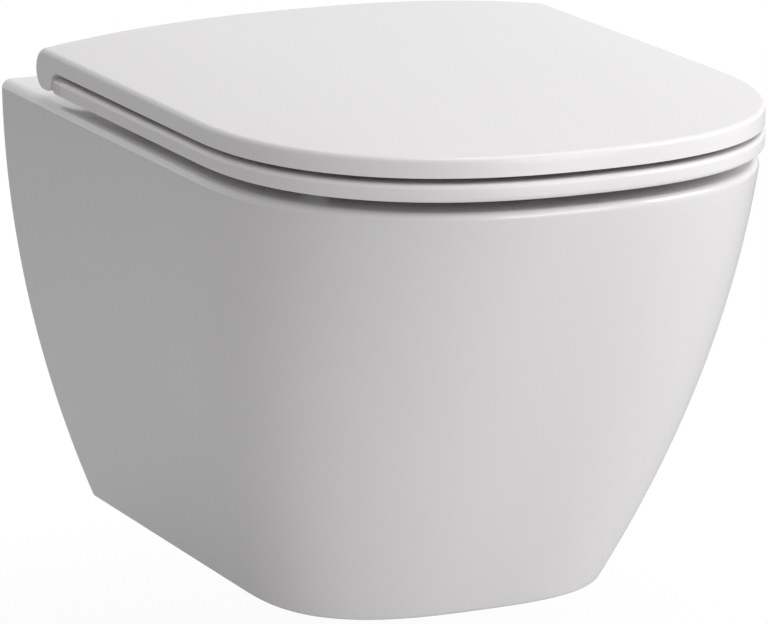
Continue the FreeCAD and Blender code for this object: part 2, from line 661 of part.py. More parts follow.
def make_base(side):
    """The rosette with its take-off stud, grooved for the latch and tapped for the bolt."""
    x = side * STUD_X
    disc = rod_z(ROSETTE_OD / 2, x, HINGE_Y, PLATE_Z, ROSETTE_TOP)
    disc = disc.makeChamfer(STUD_CHAMFER, level_edges(disc, ROSETTE_TOP))
    stud = rod_z(STUD_OD / 2, x, HINGE_Y, PLATE_Z, HINGE_Z + STUD_TOP)
    stud = stud.makeChamfer(STUD_CHAMFER, level_edges(stud, HINGE_Z + STUD_TOP))
    base = fuse([disc, stud])
    z0 = ROSETTE_TOP + LATCH_LIFT - LATCH_FIT
    z1 = ROSETTE_TOP + LATCH_LIFT + LATCH + 3 * LATCH_FIT
    groove = rod_z(STUD_OD / 2 + CUT, x, HINGE_Y, z0, z1).cut(rod_z(STUD_OD / 2 - GROOVE, x, HINGE_Y, z0, z1))
    base = base.cut(groove)
    return base.cut(rod_z(BOLT_OD / 2 + FIT, x, HINGE_Y, PLATE_Z - CUT, ROSETTE_TOP + STUD_THREAD))


def make_bolt(side):
    top = ROSETTE_TOP + STUD_THREAD
    return rod_z(BOLT_OD / 2, side * STUD_X, HINGE_Y, top - BOLT_LENGTH, top)


def make_bush(side):
    """The rubber bush that fills the hole in the deck and bulges below it."""
    inner = BOLT_OD / 2 + FIT
    hole = HINGE_HOLE / 2 - BUSH_FIT
    top = RIM_Z - BUSH_FIT
    outline = [
        V(inner, 0, top),
        V(hole, 0, top),
        V(hole, 0, UNDER_DECK),
        V(BUSH_BULGE / 2, 0, UNDER_DECK - BUSH_RAMP),
        V(BUSH_BULGE / 2, 0, UNDER_DECK + (BUSH_END - UNDER_DECK) * BUSH_WAIST),
        V(hole, 0, BUSH_END),
        V(inner, 0, BUSH_END),
    ]
    face = Part.Face(Part.makePolygon(outline + outline[:1]))
    bush = face.revolve(V(0, 0, 0), V(0, 0, 1), 360)
    bush.translate(V(side * STUD_X, HINGE_Y, 0))
    return bush


def hexagon(flats, z0, z1):
    """A hexagonal prism about Z, of a width across its flats."""
    corner = flats / math.sqrt(3)
    points = []
    for step in range(7):
        angle = math.radians(60 * step + 30)
        points.append(V(corner * math.cos(angle), corner * math.sin(angle), z0))
    return Part.Face(Part.makePolygon(points)).extrude(V(0, 0, z1 - z0))


def make_clamp_nut(side):
    flange = rod_z(CLAMP_NUT_OD / 2, 0, 0, BUSH_END - CLAMP_FLANGE, BUSH_END)
    nut = fuse([flange, hexagon(CLAMP_NUT_AF, BUSH_END - CLAMP_NUT, BUSH_END)])
    nut = nut.cut(rod_z(BOLT_OD / 2 + FIT, 0, 0, BUSH_END - CLAMP_NUT - CUT, BUSH_END + CUT))
    nut.translate(V(side * STUD_X, HINGE_Y, 0))
    return nut


def make_housing(side):
    """The take-off housing: a barrel on the hinge axis, on a foot that drops over the stud."""
    x = side * STUD_X
    barrel = rod_x(BARREL_OD / 2, side * BARREL_IN, side * BARREL_OUT, HINGE_Y, HINGE_Z)
    foot = box(x - FOOT_WIDTH / 2, x + FOOT_WIDTH / 2, HINGE_Y - FOOT_DEPTH / 2, HINGE_Y + FOOT_DEPTH / 2,
               ROSETTE_TOP + FOOT_LIFT, HINGE_Z)
    housing = fuse([barrel, round_upright(foot, FOOT_ROUND)])
    housing = housing.cut(rod_z(STUD_OD / 2 + RUN_FIT, x, HINGE_Y, PLATE_Z, HINGE_Z + STUD_TOP + FOOT_LIFT))
    pin_end = side * (BARREL_OUT - PIN_GRIP)
    housing = housing.cut(rod_x(PIN_OD / 2 + PRESS_FIT, pin_end, side * (BARREL_OUT + CUT), HINGE_Y, HINGE_Z))
    start = side * BARREL_IN
    end = side * (BARREL_IN + CARTRIDGE + FIT)
    housing = housing.cut(rod_x(CARTRIDGE_OD / 2 + RUN_FIT, start - side * CUT, end, HINGE_Y, HINGE_Z))
    key = CARTRIDGE_KEY / 2 + RUN_FIT
    housing = housing.cut(box(start - side * CUT, end, HINGE_Y - key, HINGE_Y + key,
                              HINGE_Z, HINGE_Z + CARTRIDGE_OD / 2 + KEY_HEIGHT + RUN_FIT))
    z0 = ROSETTE_TOP + LATCH_LIFT
    reach = LATCH_WIDTH / 2 + LATCH_FIT
    slot = box(x - reach, x + reach, HINGE_Y - FOOT_DEPTH, HINGE_Y + FOOT_DEPTH, z0, z0 + LATCH + 2 * LATCH_FIT)
    return housing.cut(slot)


def make_button(side):
    """The release button: a head behind the foot and the latch plate that slides round the stud."""
    x = side * STUD_X
    z0 = ROSETTE_TOP + LATCH_LIFT + LATCH_FIT
    z1 = z0 + LATCH
    hole = STUD_OD / 2 + LATCH_FIT
    front = HINGE_Y - hole - LATCH_RIM
    rear = HINGE_Y + hole + BUTTON_TRAVEL + LATCH_RIM
    across, thick, high = BUTTON
    head_y = HINGE_Y + FOOT_DEPTH / 2 + BUTTON_TRAVEL + LATCH_FIT
    plate = box(x - LATCH_WIDTH / 2, x + LATCH_WIDTH / 2, front, rear, z0, z1)
    plate = round_upright(plate, BUTTON_ROUND)
    neck = box(x - BUTTON_NECK / 2, x + BUTTON_NECK / 2, rear - CUT, head_y + CUT, z0, z1)
    middle = (z0 + z1) / 2
    head = box(x - across / 2, x + across / 2, head_y, head_y + thick, middle - high / 2, middle + high / 2)
    rear_edges = [e for e in head.Edges if e.BoundBox.YMin > head_y + thick - 0.01]
    button = fuse([plate, neck, head.makeFillet(BUTTON_ROUND, rear_edges)])
    low = z0 - CUT
    top = z1 + CUT
    opening = fuse([
        rod_z(hole, x, HINGE_Y, low, top),
        rod_z(hole, x, HINGE_Y + BUTTON_TRAVEL, low, top),
        box(x - hole, x + hole, HINGE_Y, HINGE_Y + BUTTON_TRAVEL, low, top),
    ])
    return button.cut(opening)


def make_cartridge(side):
    """The soft-close cartridge, keyed in the barrel and bored for the shaft's journal."""
    start = side * BARREL_IN
    end = side * (BARREL_IN + CARTRIDGE)
    body = rod_x(CARTRIDGE_OD / 2, start, end, HINGE_Y, HINGE_Z)
    key = box(start, end, HINGE_Y - CARTRIDGE_KEY / 2, HINGE_Y + CARTRIDGE_KEY / 2, HINGE_Z,
              HINGE_Z + CARTRIDGE_OD / 2 + KEY_HEIGHT)
    depth = JOURNAL + JOURNAL_ROOM
    bore = rod_x(JOURNAL_OD / 2 + RUN_FIT, start - side * CUT, start + side * depth, HINGE_Y, HINGE_Z)
    return fuse([body, key]).cut(bore)


def make_shaft(side, grip):
    """The shaft that turns in the cartridge; its flatted end drives the seat or the lid."""
    shoulder = side * (BARREL_IN - EAR_GAP / 2)
    journal = rod_x(JOURNAL_OD / 2, shoulder, side * (BARREL_IN + JOURNAL), HINGE_Y, HINGE_Z)
    tip = shoulder - side * grip
    return fuse([journal, shaft_x(SHAFT_OD / 2, SHAFT_FLAT, min(shoulder, tip), max(shoulder, tip))])


def make_pin(side):
    inner = BARREL_OUT - PIN_GRIP
    outer = BARREL_OUT + 2 * EAR_GAP + EAR + CHEEK - CUT
    pin = rod_x(PIN_OD / 2, side * inner, side * outer, HINGE_Y, HINGE_Z)
    return pin.makeChamfer(PIN_CHAMFER, [e for e in pin.Edges if e.BoundBox.XLength < 0.01])


# ---------------------------------------------------------------- wall fixings
def on_wall(shape, side):
    """A fixing drawn along +Z from the web's front face, turned to stand out from the wall."""
    shape.rotate(V(0, 0, 0), V(1, 0, 0), 90)
    shape.translate(V(side * BOLT_SPACING / 2, -WEB, 0))
    return shape


def make_sleeves():
    sleeves = []
    for side in SIDES.values():
        tube = rod_z(BOLT_HOLE / 2 - FIT, 0, 0, -WEB, SLEEVE_FLANGE)
        flange = rod_z(SLEEVE_OD / 2, 0, 0, 0, SLEEVE_FLANGE)
        bore = rod_z(ROD / 2 + FIT, 0, 0, -WEB - CUT, SLEEVE_FLANGE + CUT)
        sleeves.append(on_wall(fuse([tube, flange]).cut(bore), side))
    return Part.makeCompound(sleeves)


def make_washers():
    washers = []
    z0 = SLEEVE_FLANGE
    for side in SIDES.values():
        washer = rod_z(WASHER_OD / 2, 0, 0, z0, z0 + WASHER)
        washer = washer.cut(rod_z(ROD / 2 + FIT, 0, 0, z0 - CUT, z0 + WASHER + CUT))
        washers.append(on_wall(washer, side))
    return Part.makeCompound(washers)


def make_nuts():
    nuts = []
    z0 = SLEEVE_FLANGE + WASHER
    for side in SIDES.values():
        nut = hexagon(NUT_AF, z0, z0 + NUT)
        nut = nut.cut(rod_z(ROD / 2 + FIT, 0, 0, z0 - CUT, z0 + NUT + CUT))
        nuts.append(on_wall(nut, side))
    return Part.makeCompound(nuts)


save("bowl", make_bowl())
save("basin", make_basin())
save("flush_channel", make_flush_channel())
save("seat_ring", make_seat())
save("seat_buffers", make_seat_buffers())
save("lid_shell", make_lid())
save("lid_buffers", make_lid_buffers())
for name, side in SIDES.items():
    save("base_gasket_" + name, make_gasket(side))
    save("hinge_base_" + name, make_base(side))
    save("hinge_bolt_" + name, make_bolt(side))
    save("clamp_bush_" + name, make_bush(side))
    save("clamp_nut_" + name, make_clamp_nut(side))
    save("hinge_housing_" + name, make_housing(side))
    save("hinge_pin_" + name, make_pin(side))
    save("release_button_" + name, make_button(side))
save("lid_damper", make_cartridge(-1))
save("seat_damper", make_cartridge(1))
save("lid_damper_shaft", make_shaft(-1, EAR_GAP / 2 + EAR + EAR_GAP + SHAFT_GRIP))
save("seat_damper_shaft", make_shaft(1, EAR_GAP / 2 + EAR))
save("fixing_sleeves", make_sleeves())
save("fixing_washers", make_washers())
save("fixing_nuts", make_nuts())
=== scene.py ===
# %% [markdown]
# # A wall hung toilet, dressed for the camera
# The construction model comes in first and stays as it is: a china pan that hangs on two rods of
# the wall, with a seat and a lid that turn in take-off hinges. The shroud of the pan, the seat and
# the lid are then drawn again as smooth surfaces, because they are what the eye meets. Every other
# part keeps its solid and gets the finish of its real material.

import json
import math

import bpy
import numpy as np
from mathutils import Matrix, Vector
from mathutils.geometry import tessellate_polygon


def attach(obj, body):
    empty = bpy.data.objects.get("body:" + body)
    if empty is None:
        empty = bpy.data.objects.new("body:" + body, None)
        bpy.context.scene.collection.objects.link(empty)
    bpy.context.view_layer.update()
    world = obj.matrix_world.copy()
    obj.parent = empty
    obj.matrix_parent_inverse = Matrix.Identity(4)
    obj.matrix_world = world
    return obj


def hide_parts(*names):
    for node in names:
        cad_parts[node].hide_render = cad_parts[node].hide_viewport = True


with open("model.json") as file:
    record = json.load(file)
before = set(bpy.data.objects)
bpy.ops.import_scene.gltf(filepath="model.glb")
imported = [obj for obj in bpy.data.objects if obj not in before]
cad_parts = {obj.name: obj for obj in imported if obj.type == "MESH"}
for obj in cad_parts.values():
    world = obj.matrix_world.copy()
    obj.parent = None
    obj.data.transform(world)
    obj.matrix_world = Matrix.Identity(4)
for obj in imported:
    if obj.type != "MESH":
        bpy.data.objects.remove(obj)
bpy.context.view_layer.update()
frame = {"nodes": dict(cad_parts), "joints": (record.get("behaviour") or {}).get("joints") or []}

# %% [markdown]
# ## Sizes that the solids already have
# A seat that is drawn again has to lie on the same pads and turn about the same pins as the solid
# one. Its sizes could be typed in a second time, and would then be wrong as soon as the solid
# changes. So they are measured on the solids, and only what can't be measured there, such as a
# wall hidden in the china, is written down further on. Sizes are in millimetres until they reach a
# mesh, unless a comment says metres.

# %% Measuring the solids
MM = 0.001


def solid_box(name):
    """The least and the greatest x, y and z of a node, to a hundredth of a millimetre."""
    mesh = frame["nodes"][name].data
    corners = np.empty(3 * len(mesh.vertices), np.float32)
    mesh.vertices.foreach_get("co", corners)
    corners = corners.reshape(-1, 3).astype(float) / MM
    return np.round([corners.min(axis=0), corners.max(axis=0)], 2)


china_low, china_high = solid_box("bowl")
cover_low, cover_high = solid_box("lid_shell")
RIM, UNDERSIDE = china_high[2], china_low[2]
COVER_HALF, COVER_FRONT = cover_high[0], -cover_low[1]        # half width, and wall to the front
ROLL_BACK, ROLL_LOW, LID_TOP = cover_high[1], cover_low[2], cover_high[2]
SEAT_LOW = solid_box("seat_buffers")[1][2]                    # the pads fill the gap under the seat
SEAT_TOP, LID_LOW = solid_box("lid_buffers")[:, 2]            # and these the gap under the lid
HINGE_X = solid_box("hinge_bolt_right")[:, 0].mean()
hinge = next(joint for joint in frame["joints"] if joint["name"] == "seat_hinge")
HINGE_Y, HINGE_Z = np.round(np.array(hinge["pos_m"][1:]) / MM, 2)
print("rim", RIM, "underside", UNDERSIDE, "seat", SEAT_LOW, "to", SEAT_TOP, "lid", LID_LOW, "to", LID_TOP)

# %% [markdown]
# ## The camera
# The photograph was taken from the front left with a long lens: the edges of the lid hardly
# converge. A short lens close by would fill the picture just as well, but it would make the nose
# of the pan look larger than its back. So a long lens stands far off, and a small shift puts the
# pan where it sits in the picture.

# %% Camera
PHOTO_SIZE = (768, 624)
PHOTO_CENTRE = (410.8, 338.5)          # pixel that the lens points at
AZIMUTH, ELEVATION = math.radians(-25.333), math.radians(13.983)
DISTANCE = 3868.1 * MM
FOCAL_LENGTH, SENSOR_WIDTH = 281.6, 36.0
AIM = Vector((0, -253.6, -59.2)) * MM


def make_camera():
    """A camera at DISTANCE from the aim, on the direction that azimuth and elevation give."""
    back = Vector((math.sin(AZIMUTH) * math.cos(ELEVATION),
                   -math.cos(AZIMUTH) * math.cos(ELEVATION),
                   math.sin(ELEVATION)))
    lens = bpy.data.cameras.new("camera")
    lens.lens, lens.sensor_width = FOCAL_LENGTH, SENSOR_WIDTH
    lens.shift_x = (PHOTO_SIZE[0] / 2 - PHOTO_CENTRE[0]) / PHOTO_SIZE[0]
    lens.shift_y = (PHOTO_CENTRE[1] - PHOTO_SIZE[1] / 2) / PHOTO_SIZE[0]
    camera = bpy.data.objects.new("camera", lens)
    camera.location = AIM + back * DISTANCE
    camera.rotation_euler = (-back).to_track_quat("-Z", "Y").to_euler()
    bpy.context.scene.collection.objects.link(camera)
    bpy.context.scene.camera = camera
    print("camera at", [round(c, 3) for c in camera.location])


make_camera()

# %% [markdown]
# ## Sums of sockets
# A finish is a sum of patterns: a slow drift of colour, a fine grain, a ripple in the glaze. In
# the node editor such a sum is a row of boxes and wires. Written with plain + and *, it can be
# read, so the first class below turns each sign into a Math node. The second one adds every node.

# %% Numbers that flow through nodes
class Flow:
    """The output of a node. Adding and multiplying it adds Math nodes."""

    def __init__(self, wiring, socket):
        self.wiring, self.socket = wiring, socket

    def __add__(self, other):
        return self.wiring.maths("ADD", self, other)

    def __mul__(self, other):
        return self.wiring.maths("MULTIPLY", self, other)

    __radd__ = __add__
    __rmul__ = __mul__


# %% One method for every node
class Wiring:
    """The nodes of a material or of the world, which start from none."""

    def __init__(self, owner):
        owner.use_nodes = True
        self.owner, self.tree = owner, owner.node_tree
        self.tree.nodes.clear()

    def node(self, kind, settings, sockets, output=0):
        """Adds one node: its settings first, then the value or the link of each socket."""
        made = self.tree.nodes.new(kind)
        for name, value in settings.items():
            setattr(made, name, value)
        for name, value in sockets.items():
            if isinstance(value, Flow):
                self.tree.links.new(value.socket, made.inputs[name])
            else:
                made.inputs[name].default_value = value
        return Flow(self, made.outputs[output]) if made.outputs else None

    def maths(self, operation, first, second):
        """A Math node on two numbers, each of them fixed or flowing."""
        return self.node("ShaderNodeMath", {"operation": operation}, {0: first, 1: second})

    def close(self, shader, output="ShaderNodeOutputMaterial"):
        """Leads the shader to the output and gives the owner back."""
        self.node(output, {}, {"Surface": shader})
        print(self.owner.name, "has", len(self.tree.nodes), "nodes")
        return self.owner


# %% Patterns that a finish is made of
class Finish(Wiring):
    """A material whose patterns lie in the object's own coordinates."""

    def __init__(self, name):
        super().__init__(bpy.data.materials.new(name))
        self.place = self.node("ShaderNodeTexCoord", {}, {}, "Object")

    def noise(self, size, detail=2.0, stretch=(1, 1, 1)):
        """A soft pattern whose blotches are about `size` metres across."""
        place = self.node("ShaderNodeMapping", {}, {"Vector": self.place, "Scale": stretch})
        return self.node("ShaderNodeTexNoise", {}, {"Vector": place, "Scale": 1 / size, "Detail": detail})

    def blend(self, share, first, second):
        """A colour between two colours."""
        return self.node("ShaderNodeMix", {"data_type": "RGBA"},
                         {"Factor": share, 6: (*first, 1), 7: (*second, 1)}, 2)

    def bump(self, height, depth):
        """A normal that the height tips, with `depth` metres between its low and high places."""
        return self.node("ShaderNodeBump", {}, {"Height": height, "Distance": depth})

    def principled(self, varying, fixed):
        """The material: what varies is linked, what is the same all over is set on its socket."""
        return self.close(self.node("ShaderNodeBsdfPrincipled", {}, {**fixed, **varying}))


# %% [markdown]
# ## The white of the china
# Vitreous china is a grey-white body under a glass coat. One even white would do for a drawing,
# but the glass ran during firing and kept a ripple of a tenth of a millimetre, as wide as a thumb,
# and that ripple is what bends the reflections on a real pan. So the coat gets a bump, and the
# colour drifts a little from place to place, as the thickness of the coat does.

# %% Glazed china
GLAZE_DRIFT, GLAZE_CLOUD, THUMB, SPECK = 0.16, 0.05, 0.035, 0.006      # metres across one blotch
RIPPLE = 0.00012                                                       # metres deep
THIN_COAT, THICK_COAT = (0.805, 0.785, 0.79), (0.83, 0.81, 0.815)


def china_glaze():
    """White glass over white clay: a wide faint drift of colour, and a ripple in the coat."""
    finish = Finish("china_glaze")
    ripple = finish.noise(THUMB, 1) + 0.15 * finish.noise(SPECK, 2)
    return finish.principled(
        {"Base Color": finish.blend(finish.noise(GLAZE_DRIFT, 1), THIN_COAT, THICK_COAT),
         "Roughness": 0.20 + 0.06 * finish.noise(GLAZE_CLOUD, 3),
         "Normal": finish.bump(ripple, RIPPLE)},
        {"Coat Weight": 0.55, "Coat Roughness": 0.06, "IOR": 1.5})


glaze = china_glaze()

# %% [markdown]
# ## The white of seat and lid
# Both are pressed from a hard white resin. It could share the glaze of the pan, but next to china
# it looks duller, because its mould is polished and not fired. So it gets a finish of its own: a
# fine even haze, with faint flow marks along the long side.

# %% Pressed resin
FLOW_MARK, HAZE = 0.05, 0.0012                       # metres across one blotch
HAZE_DEPTH = 0.000012                                # metres
ALONG = (1, 0.35, 1)                                 # draws the flow marks out along y
MILKY, CLEAR = (0.82, 0.80, 0.812), (0.845, 0.826, 0.838)


def pressed_resin():
    """A dull white with a fine haze in its roughness and a very shallow grain."""
    finish = Finish("pressed_resin")
    haze = finish.noise(HAZE, 2)
    return finish.principled(
        {"Base Color": finish.blend(finish.noise(FLOW_MARK, 2, ALONG), MILKY, CLEAR),
         "Roughness": 0.30 + 0.08 * haze,
         "Normal": finish.bump(haze, HAZE_DEPTH)},
        {"Coat Weight": 0.25, "Coat Roughness": 0.18, "IOR": 1.52})


resin = pressed_resin()

# %% [markdown]
# ## Grids and plates
# China and resin have two kinds of face. The rounded ones could be sculpted from a block, but here
# they are rows of points that a formula gives as whole arrays, joined by quads. The flat ones, such
# as the top of the deck with its mouth and bolt holes, are an outline with loops cut out of it.
# Each grid keeps its own edge points, so it is smooth inside and meets its neighbour at a crisp
# line, as a moulded edge does.

# %% Collecting faces for one mesh
class Skin:
    """Grids and plates, in millimetres, that become one mesh."""

    def __init__(self):
        self.points, self.faces, self.count = [], [], 0

    def keep(self, points, faces):
        """Adds points, and faces that count from the first of them."""
        self.points.append(points)
        self.faces.extend((faces + self.count).tolist())
        self.count += len(points)

    def grid(self, rows, wrap=False, flip=False):
        """Quads over rows of points; wrap joins the last column to the first."""
        height, width = rows.shape[:2]
        index = np.arange(height * width).reshape(height, width)
        if wrap:
            index = np.concatenate([index, index[:, :1]], axis=1)
        quads = np.stack([index[:-1, :-1], index[:-1, 1:], index[1:, 1:], index[1:, :-1]], axis=-1)
        quads = quads.reshape(-1, 4)
        self.keep(rows.reshape(-1, 3), quads[:, ::-1] if flip else quads)

    def fan(self, loop, middle, flip=False):
        """Triangles from a closed loop to one point in its middle."""
        size = len(loop)
        here = np.arange(size)
        faces = np.stack([here, (here + 1) % size, np.full(size, size)], axis=-1)
        self.keep(np.vstack([loop, middle]), faces[:, ::-1] if flip else faces)

    def plate(self, loops, facing):
        """Triangles inside the first flat loop and outside the others, turned to face a way."""
        points = np.vstack(loops)
        threes = np.array(tessellate_polygon([[Vector(p) for p in loop] for loop in loops]))
        a, b, c = (points[threes[:, k]] for k in range(3))
        turned = np.cross(b - a, c - a) @ np.array(facing, float) < 0
        threes[turned] = threes[turned][:, ::-1]
        self.keep(points, threes)

    def build(self, name, material, body, node):
        """The mesh in metres, smooth shaded, riding on its body in place of the node."""
        mesh = bpy.data.meshes.new(name)
        mesh.from_pydata(np.vstack(self.points) * MM, [], self.faces)
        mesh.polygons.foreach_set("use_smooth", np.ones(len(mesh.polygons), bool))
        mesh.materials.append(material)
        piece = bpy.data.objects.new(name, mesh)
        bpy.context.scene.collection.objects.link(piece)
        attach(piece, body)
        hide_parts(node)
        print(name, "has", len(mesh.vertices), "points and", len(mesh.polygons), "faces")


# %% From flat plans to points in space
LEFT, RIGHT, FORWARD, TO_WALL = (-1, 0, 0), (1, 0, 0), (0, -1, 0), (0, 1, 0)
UP, DOWN = (0, 0, 1), (0, 0, -1)


def column(*values):
    """Numbers as a column, so that each one makes a row of points."""
    return [np.asarray(v, float).reshape(-1, 1) for v in values]


def at_height(plan, z):
    """Plan points lifted to a height, which is one number or one per point."""
    return np.concatenate([plan, np.broadcast_to(z, plan.shape[:-1])[..., None]], axis=-1)


def at_x(profile, x):
    """A loop drawn in y and z, set at a distance from the middle plane."""
    return np.concatenate([np.full((len(profile), 1), x), profile], axis=1)


def at_y(profile, y):
    """A loop drawn in x and z, stood up at a distance from the wall."""
    return np.stack([profile[:, 0], np.full(len(profile), y), profile[:, 1]], axis=-1)


# %% [markdown]
# ## Outlines
# Seen from above, pan, seat and lid are all the same figure: two straight sides and a front that
# is squarer than an ellipse. It could be drawn with arcs, but where arcs meet, the light on a
# glossy edge shows a kink. A superellipse has no such places and needs only one number, its
# power: 2 is an ellipse, and larger powers fill the corners.

# %% Tongues
SIDE_STEPS, NOSE_STEPS = 14, 120


def fullness(value, power):
    """A cosine or sine raised to 2 / power, with its sign kept."""
    return np.sign(value) * np.abs(value) ** (2 / power)


def tongue(half, run, front, power, inset=0.0, back=0.0):
    """Rows of outlines from the back along the left side, round the nose and back again.
    Sides: x = half. Nose: x = half * c and y = -run - (front - run) * s, with c and s the cosine
    and sine of an even turn, each raised to 2 / power with its sign kept. Then every point
    moves by the inset along the inward normal, which is the direction of travel turned left."""
    lengths = column(half, run, front, power, inset, back)
    half, run, front, power, inset, back = np.broadcast_arrays(*lengths)
    turn = np.linspace(np.pi, 0, NOSE_STEPS + 1)
    share = np.linspace(0, 1, SIDE_STEPS + 1)[:-1]
    nose_x = half * fullness(np.cos(turn), power)
    nose_y = -run - (front - run) * fullness(np.sin(turn), power)
    side_y = back + (-run - back) * share
    side_x = np.broadcast_to(half, side_y.shape)
    x = np.concatenate([-side_x, nose_x, side_x], axis=1)
    y = np.concatenate([side_y, nose_y, side_y[:, ::-1]], axis=1)
    go_x, go_y = np.gradient(x, axis=1), np.gradient(y, axis=1)
    length = np.hypot(go_x, go_y)
    return np.stack([x - inset * go_y / length, y + inset * go_x / length], axis=-1)


print("points on a tongue:", 2 * SIDE_STEPS + NOSE_STEPS + 1)


# %% Ovals, circles and round edges
def oval(half, rear, front, power, count=160):
    """Rows of closed superellipses between two distances from the wall: x = half * c, and y is
    the middle plus half the length * s, with c and s as in a tongue."""
    half, rear, front = np.broadcast_arrays(*column(half, rear, front))
    turn = np.linspace(0, 2 * np.pi, count, endpoint=False)
    x = half * fullness(np.cos(turn), power)
    y = -(rear + front) / 2 + (front - rear) / 2 * fullness(np.sin(turn), power)
    return np.stack([x, y], axis=-1)


def circle(radius, across, up, count=48):
    """A closed circle about a point: radius * cosine and radius * sine of an even turn."""
    turn = np.linspace(0, 2 * np.pi, count, endpoint=False)
    return np.stack([across + radius * np.cos(turn), up + radius * np.sin(turn)], axis=-1)


def round_turn(steps):
    """Cosine and sine of a quarter turn, in even steps. A rounded edge of radius r lies
    r * (1 - one of them) below its top and r * (1 - the other) inside its side."""
    turn = np.linspace(0, np.pi / 2, steps + 1)
    return np.cos(turn), np.sin(turn)


print("points on an oval:", oval(1, 0, 1, 2).shape[1], "and on a circle:", len(circle(1, 0, 0)))

# %% [markdown]
# ## The pan
# The pan is slip cast: a shroud about 11 mm thick under a thicker deck, open towards the wall. Its
# sides fall almost straight and then curve in, and its front leans back. A skin over a few drawn
# sections could follow that, but it waves between them. One formula for the outline at every depth
# stays fair: each set-back is a straight slope plus a parabola, and a quarter turn rounds the
# outline over at the rim and at the underside.

# %% Outline of the china at a depth
DEEP = RIM - UNDERSIDE
PAN_HALF, BASE_HALF = 180.0, 117.3     # half width at the rim and at the underside
PAN_FRONT, BASE_FRONT = 507.0, 355.0   # wall to the front, at the rim and at the underside
RUN_TOP, RUN_BASE = 325.0, 245.0       # straight part of the side, at both
POWER_TOP, POWER_BASE = 2.38, 2.88     # power of the nose, at both
SIDE_RAKE, FRONT_RAKE = 0.03, 0.76     # share of a set-back that is a straight slope


def between(top, base, share):
    """The size that lies this share of the way from the top's to the base's."""
    return top + (base - top) * share


def set_back(t, rake):
    """How far a side has gone from its top to its base size: rake * t + (1 - rake) * t^2."""
    return rake * t + (1 - rake) * t ** 2


def pan_outline(depth, inset):
    """The outline at depths below the rim. With t = depth / DEEP, half width and front go back
    by a slope plus a parabola, and the straight part and the power change evenly."""
    t = np.asarray(depth, float) / DEEP
    half = between(PAN_HALF, BASE_HALF, set_back(t, SIDE_RAKE))
    front = between(PAN_FRONT, BASE_FRONT, set_back(t, FRONT_RAKE))
    run, power = between(RUN_TOP, RUN_BASE, t), between(POWER_TOP, POWER_BASE, t)
    return at_height(tongue(half, run, front, power, inset), RIM - DEEP * t[..., None])


print("outline halfway down:", np.ptp(pan_outline([DEEP / 2], 0)[0], axis=0).round(1))

# %% Outside and inside of the shroud
WALL, DECK = 11.0, 12.0                # thickness of the shroud and of the deck
RIM_ROUND, BASE_ROUND = 6.0, 3.0
FLAT = 6.0                             # flat strip kept next to each rounded edge
SIDE_ROWS = 36

near, over = round_turn(steps=8)
rim_depth, rim_inset = RIM_ROUND * (1 - near), RIM_ROUND * (1 - over)
side_depth = np.linspace(RIM_ROUND, DEEP - BASE_ROUND, SIDE_ROWS)[1:-1]
base_depth, base_inset = DEEP - BASE_ROUND * (1 - over), BASE_ROUND * (1 - near)
depth = np.concatenate([[0], rim_depth, side_depth, base_depth, [DEEP]])
inset = np.concatenate([[RIM_ROUND + FLAT], rim_inset, 0 * side_depth, base_inset, [BASE_ROUND + FLAT]])
outside = pan_outline(depth, inset)
inner_depth = np.linspace(DECK, DEEP - WALL, SIDE_ROWS)
inside = pan_outline(inner_depth, WALL)

pan = Skin()
pan.grid(outside, flip=True)
pan.grid(inside)
print("rows and columns outside", outside.shape[:2], "and inside", inside.shape[:2])

# %% [markdown]
# The mouth of the basin has a soft lip, so that nothing chips. The deck round it is flat and
# drilled for the two hinge bolts. Below, two long holes let a hand reach the nuts on the wall
# rods. Cutting them with booleans would leave ragged triangles in the smooth shading. A flat face
# with loops left out of it stays flat.

# %% Lip of the mouth
MOUTH_HALF, MOUTH_REAR, MOUTH_FRONT, MOUTH_POWER = 138.0, 150.0, 471.0, 2.3
LIP = 5.0
SKIRT, TUCK = 1.0, 0.1                 # lip past its round: down, and into the mouth
BASIN_WALL = 9.0                       # the deck's underside stops at the outside of the basin


def mouth(offset, z):
    """The basin's mouth, widened by an offset, at a height."""
    offset, z = column(offset, z)
    plan = oval(MOUTH_HALF + offset, MOUTH_REAR - offset, MOUTH_FRONT + offset, MOUTH_POWER)
    return at_height(plan, z)


near, over = round_turn(steps=8)
lip = mouth(np.append(LIP * (1 - over), -TUCK), np.append(RIM - LIP * (1 - near), RIM - LIP - SKIRT))
pan.grid(lip, wrap=True)
print("mouth", np.ptp(lip[-1], axis=0)[:2].round(1))

# %% Deck and underside
BOLT_HOLE = 7.5
HAND_X, HAND_Y, HAND_POWER = 84.0, -75.0, 5.0
HAND_HALF = (22.0, 60.0)               # across and along


def hand_hole(side):
    """A squarish oval in the underside."""
    plan = oval(HAND_HALF[0], -HAND_Y - HAND_HALF[1], -HAND_Y + HAND_HALF[1], HAND_POWER, 64)[0]
    return at_height(plan + (side * HAND_X, 0), UNDERSIDE)


def pierce(skin, holes, through):
    """A wall in each hole, from its loop to the same loop moved by a vector."""
    for hole in holes:
        skin.grid(np.stack([hole, hole + through]), wrap=True)


